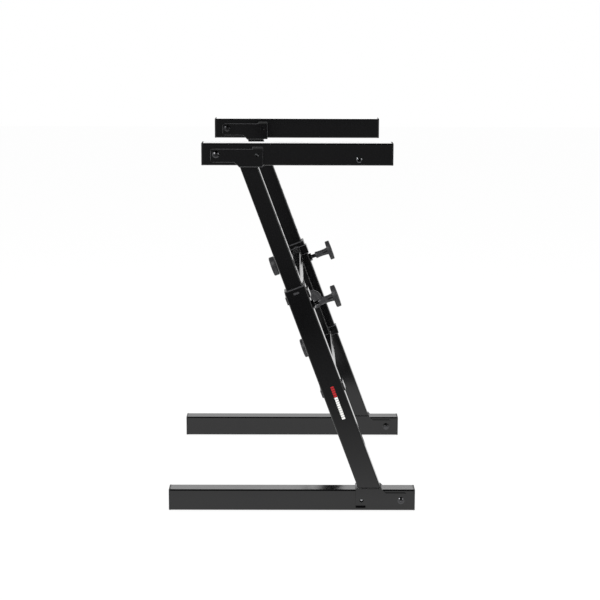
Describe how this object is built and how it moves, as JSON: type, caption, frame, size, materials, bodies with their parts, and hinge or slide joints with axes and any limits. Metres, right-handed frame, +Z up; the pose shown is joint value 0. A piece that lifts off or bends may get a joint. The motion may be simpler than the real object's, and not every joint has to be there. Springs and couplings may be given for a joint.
{
  "type": "folding keyboard stand",
  "caption": "Z-shaped keyboard stand with folding arms and bases, columns set in height by pull pins and telescoping crossbars set in width by round clamp knobs.",
  "frame": {"origin": "on the floor, in the middle of the stand's outline", "axes": "+X from the front of the stand to its back, along the bases; +Y from the near frame to the far frame, along the crossbars; +Z up"},
  "size_m": [0.516, 0.6516, 0.7732],
  "materials": {
    "coated_steel": "gloss black powder coat",
    "black_plastic": "satin moulded",
    "grey_plastic": "satin moulded",
    "zinc_plated_steel": "black zinc plate",
    "spring_steel": "bare spring steel",
    "rubber": "matt"
  },
  "bodies": {
    "near_frame": {"near_sleeve": "coated_steel", "near_foot_bracket": "coated_steel", "near_sleeve_bushing": "black_plastic", "near_saddles": "coated_steel", "near_pin_barrel": "zinc_plated_steel", "near_pin_spring": "spring_steel", "near_base_pivot": "zinc_plated_steel", "upper_crossbar": "coated_steel", "lower_crossbar": "coated_steel", "crossbar_brace": "coated_steel", "crossbar_yoke": "coated_steel", "crossbar_bushings": "black_plastic", "knob_nuts": "zinc_plated_steel"},
    "far_frame": {"far_sleeve": "coated_steel", "far_foot_bracket": "coated_steel", "far_sleeve_bushing": "black_plastic", "far_saddles": "coated_steel", "far_pin_barrel": "zinc_plated_steel", "far_pin_spring": "spring_steel", "far_base_pivot": "zinc_plated_steel", "upper_slider": "coated_steel", "lower_slider": "coated_steel"},
    "near_upper_column": {"near_upright": "coated_steel", "near_upright_glide": "black_plastic", "near_arm_bracket": "coated_steel", "near_arm_pivot": "zinc_plated_steel"},
    "near_top_arm": {"near_arm": "coated_steel", "near_arm_caps": "black_plastic", "near_arm_insert": "zinc_plated_steel", "near_arm_leaf": "spring_steel"},
    "near_bottom_base": {"near_base": "coated_steel", "near_base_caps": "black_plastic", "near_base_feet": "rubber", "near_base_leaf": "spring_steel"},
    "near_height_pull": {"near_pull_knob": "grey_plastic", "near_pull_pin": "zinc_plated_steel"},
    "near_arm_lock": {"near_arm_button": "zinc_plated_steel"},
    "near_base_lock": {"near_base_button": "zinc_plated_steel"},
    "far_upper_column": {"far_upright": "coated_steel", "far_upright_glide": "black_plastic", "far_arm_bracket": "coated_steel", "far_arm_pivot": "zinc_plated_steel"},
    "far_top_arm": {"far_arm": "coated_steel", "far_arm_caps": "black_plastic", "far_arm_insert": "zinc_plated_steel", "far_arm_leaf": "spring_steel"},
    "far_bottom_base": {"far_base": "coated_steel", "far_base_caps": "black_plastic", "far_base_feet": "rubber", "far_base_leaf": "spring_steel"},
    "far_height_pull": {"far_pull_knob": "grey_plastic", "far_pull_pin": "zinc_plated_steel"},
    "far_arm_lock": {"far_arm_button": "zinc_plated_steel"},
    "far_base_lock": {"far_base_button": "zinc_plated_steel"},
    "upper_width_clamp": {"upper_width_knob": "grey_plastic", "upper_width_stud": "zinc_plated_steel"},
    "lower_width_clamp": {"lower_width_knob": "grey_plastic", "lower_width_stud": "zinc_plated_steel"},
    "yoke_clamp": {"yoke_knob": "grey_plastic", "yoke_stud": "zinc_plated_steel"}
  },
  "joints": [
    {"name": "width_slide", "type": "slide", "parent": "near_frame", "child": "far_frame", "axis": [0, 1, 0], "range_m": [-0.04, 0.26]},
    {"name": "near_height_slide", "type": "slide", "parent": "near_frame", "child": "near_upper_column", "axis": [-0.3486, 0, 0.9373], "range_m": [-0.2, 0.1]},
    {"name": "near_arm_fold", "type": "hinge", "parent": "near_upper_column", "child": "near_top_arm", "pos_m": [-0.15458, -0.3, 0.7505], "axis": [0, -1, 0], "range_deg": [0, 290]},
    {"name": "near_base_fold", "type": "hinge", "parent": "near_frame", "child": "near_bottom_base", "pos_m": [0.2285, -0.3, 0.025], "axis": [0, -1, 0], "range_deg": [0, 282]},
    {"name": "near_height_pull", "type": "slide", "parent": "near_frame", "child": "near_height_pull", "axis": [0.9373, 0, 0.3486], "range_m": [-0.006, 0.004], "stiffness_N_per_m": 800, "deforming": ["near_pin_spring"]},
    {"name": "near_arm_lock", "type": "slide", "parent": "near_top_arm", "child": "near_arm_lock", "axis": [0, -1, 0], "range_m": [-0.001, 0.004], "stiffness_N_per_m": 300, "deforming": ["near_arm_leaf"]},
    {"name": "near_base_lock", "type": "slide", "parent": "near_bottom_base", "child": "near_base_lock", "axis": [0, -1, 0], "range_m": [-0.001, 0.004], "stiffness_N_per_m": 300, "deforming": ["near_base_leaf"]},
    {"name": "far_height_slide", "type": "slide", "parent": "far_frame", "child": "far_upper_column", "axis": [-0.3486, 0, 0.9373], "range_m": [-0.2, 0.1]},
    {"name": "far_arm_fold", "type": "hinge", "parent": "far_upper_column", "child": "far_top_arm", "pos_m": [-0.15458, 0.3, 0.7505], "axis": [0, -1, 0], "range_deg": [0, 290]},
    {"name": "far_base_fold", "type": "hinge", "parent": "far_frame", "child": "far_bottom_base", "pos_m": [0.2285, 0.3, 0.025], "axis": [0, -1, 0], "range_deg": [0, 282]},
    {"name": "far_height_pull", "type": "slide", "parent": "far_frame", "child": "far_height_pull", "axis": [0.9373, 0, 0.3486], "range_m": [-0.006, 0.004], "stiffness_N_per_m": 800, "deforming": ["far_pin_spring"]},
    {"name": "far_arm_lock", "type": "slide", "parent": "far_top_arm", "child": "far_arm_lock", "axis": [0, 1, 0], "range_m": [-0.001, 0.004], "stiffness_N_per_m": 300, "deforming": ["far_arm_leaf"]},
    {"name": "far_base_lock", "type": "slide", "parent": "far_bottom_base", "child": "far_base_lock", "axis": [0, 1, 0], "range_m": [-0.001, 0.004], "stiffness_N_per_m": 300, "deforming": ["far_base_leaf"]},
    {"name": "upper_width_knob_turn", "type": "hinge", "parent": "near_frame", "child": "upper_width_clamp", "pos_m": [0.0025, 0.198, 0.45173], "axis": [-0.9373, 0, -0.3486], "continuous": true},
    {"name": "lower_width_knob_turn", "type": "hinge", "parent": "near_frame", "child": "lower_width_clamp", "pos_m": [0.07535, 0.198, 0.25584], "axis": [-0.9373, 0, -0.3486], "continuous": true},
    {"name": "yoke_knob_turn", "type": "hinge", "parent": "near_frame", "child": "yoke_clamp", "pos_m": [0.04655, 0.208, 0.36196], "axis": [0, -1, 0], "continuous": true}
  ]
}
